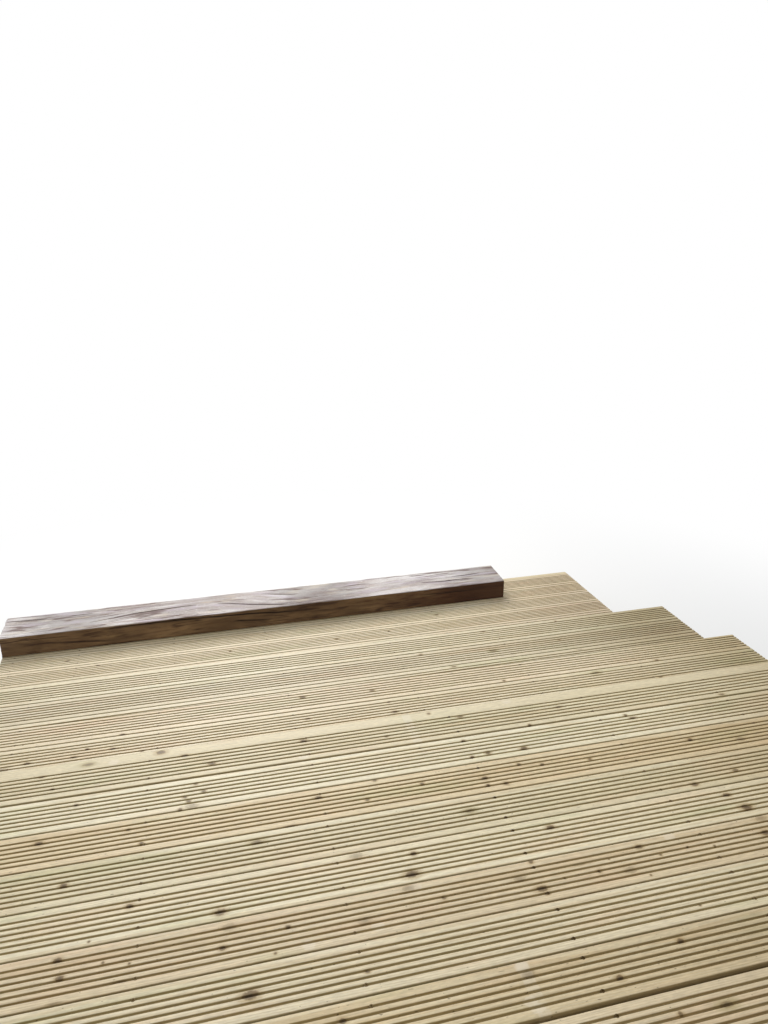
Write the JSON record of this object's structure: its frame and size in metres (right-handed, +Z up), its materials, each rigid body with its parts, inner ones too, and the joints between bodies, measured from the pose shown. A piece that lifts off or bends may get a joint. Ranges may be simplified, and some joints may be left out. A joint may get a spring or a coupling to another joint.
{
  "type": "stepped garden deck",
  "caption": "Garden deck of grooved timber boards stepping down through three levels, with a heavy timber beam lying as a kerb along the lowest level.",
  "frame": {"origin": "centre of the whole deck's footprint, on the ground under its lowest feet", "axes": "+X along the boards, to the right of someone who stands on the highest level and looks down the steps; +Y down the steps to the kerb beam; +Z up"},
  "size_m": [3.1298, 3.5684, 0.67],
  "materials": {
    "board_wood": "new pressure-treated softwood, planed and grooved, faint sheen",
    "fascia_wood": "new pressure-treated softwood, planed smooth",
    "frame_wood": "pressure-treated sawn softwood, matt",
    "beam_wood": "weathered, split, grey on top and brown on its sides, matt"
  },
  "bodies": {
    "root": {"kerb_beam": "beam_wood", "lower_board_1": "board_wood", "lower_board_2": "board_wood", "lower_board_3": "board_wood", "lower_board_4": "board_wood", "lower_board_5": "board_wood", "lower_board_6": "board_wood", "lower_board_7": "board_wood", "lower_board_8": "board_wood", "lower_board_9": "board_wood", "lower_fascia_board": "fascia_wood", "lower_ground_bearers": "frame_wood", "lower_joists": "frame_wood", "lower_rims": "frame_wood", "middle_board_1": "board_wood", "middle_board_2": "board_wood", "middle_board_3": "board_wood", "middle_board_4": "board_wood", "middle_joists": "frame_wood", "middle_nosing_board": "board_wood", "middle_posts": "frame_wood", "middle_rims": "frame_wood", "middle_riser_board_1": "board_wood", "middle_riser_board_2": "board_wood", "middle_riser_board_3": "board_wood", "middle_second_board": "board_wood", "tapered_infill_board": "board_wood", "upper_board_01": "board_wood", "upper_board_02": "board_wood", "upper_board_03": "board_wood", "upper_board_04": "board_wood", "upper_board_05": "board_wood", "upper_board_06": "board_wood", "upper_board_07": "board_wood", "upper_board_08": "board_wood", "upper_board_09": "board_wood", "upper_board_10": "board_wood", "upper_board_11": "board_wood", "upper_board_12": "board_wood", "upper_board_13": "board_wood", "upper_joists": "frame_wood", "upper_posts": "frame_wood", "upper_rims": "frame_wood", "upper_riser_board": "board_wood"}
  },
  "joints": []
}
